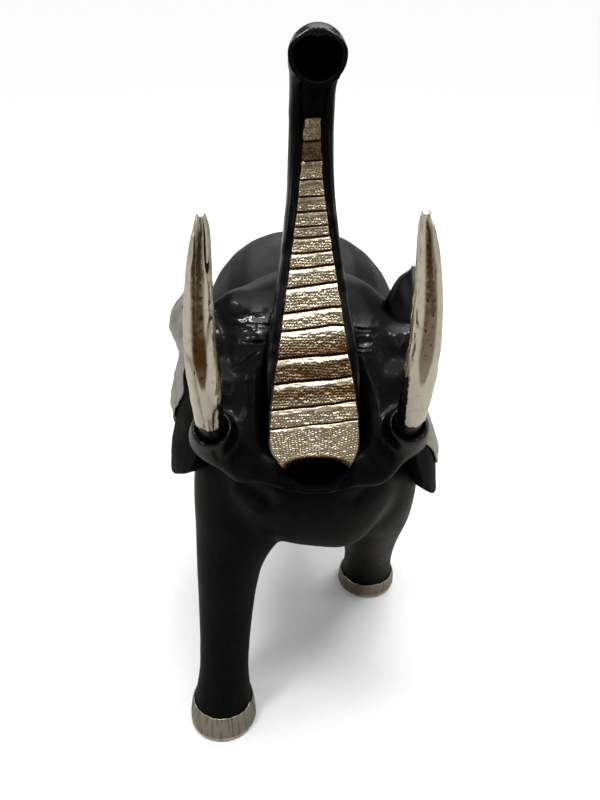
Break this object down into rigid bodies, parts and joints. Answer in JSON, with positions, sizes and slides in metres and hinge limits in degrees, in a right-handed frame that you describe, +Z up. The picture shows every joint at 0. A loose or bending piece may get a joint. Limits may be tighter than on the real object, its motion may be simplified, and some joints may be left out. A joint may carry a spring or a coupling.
{
  "type": "carved elephant figurine",
  "caption": "Carved elephant figurine in black lacquered wood, trunk raised, with thin silver sheet laid over its trunk, tusks, ears and feet.",
  "frame": {"origin": "centre of the bounding box at floor level, under the belly", "axes": "+Z up, from the soles to the top of the raised trunk; the elephant faces -Y; its right side is at -X"},
  "size_m": [0.1137, 0.2263, 0.2865],
  "materials": {
    "lacquered_wood": "black lacquer, satin to glossy, over a carved and hand-rubbed surface",
    "bare_wood": "plain turned dowel, unfinished",
    "embossed_silver": "punched and embossed sheet, bright with brown tarnish in the hollows",
    "tusk_silver": "glossy wrinkled foil with a ragged lower edge",
    "ear_silver": "hammered wavy sheet, matt and pale",
    "foot_silver": "sheet with fine upright grooves, slightly tarnished"
  },
  "bodies": {
    "root": {"body": "lacquered_wood", "trunk": "lacquered_wood", "trunk_dowel": "bare_wood", "trunk_strip": "embossed_silver", "tusk_right": "lacquered_wood", "tusk_left": "lacquered_wood", "tusk_silver_right": "tusk_silver", "tusk_silver_left": "tusk_silver", "ear_right": "lacquered_wood", "ear_left": "lacquered_wood", "ear_silver_right": "ear_silver", "ear_silver_left": "ear_silver", "ear_dowels_right": "bare_wood", "ear_dowels_left": "bare_wood", "band_fore_right": "foot_silver", "band_fore_left": "foot_silver", "band_hind_right": "foot_silver", "band_hind_left": "foot_silver", "tail": "lacquered_wood"}
  },
  "joints": []
}
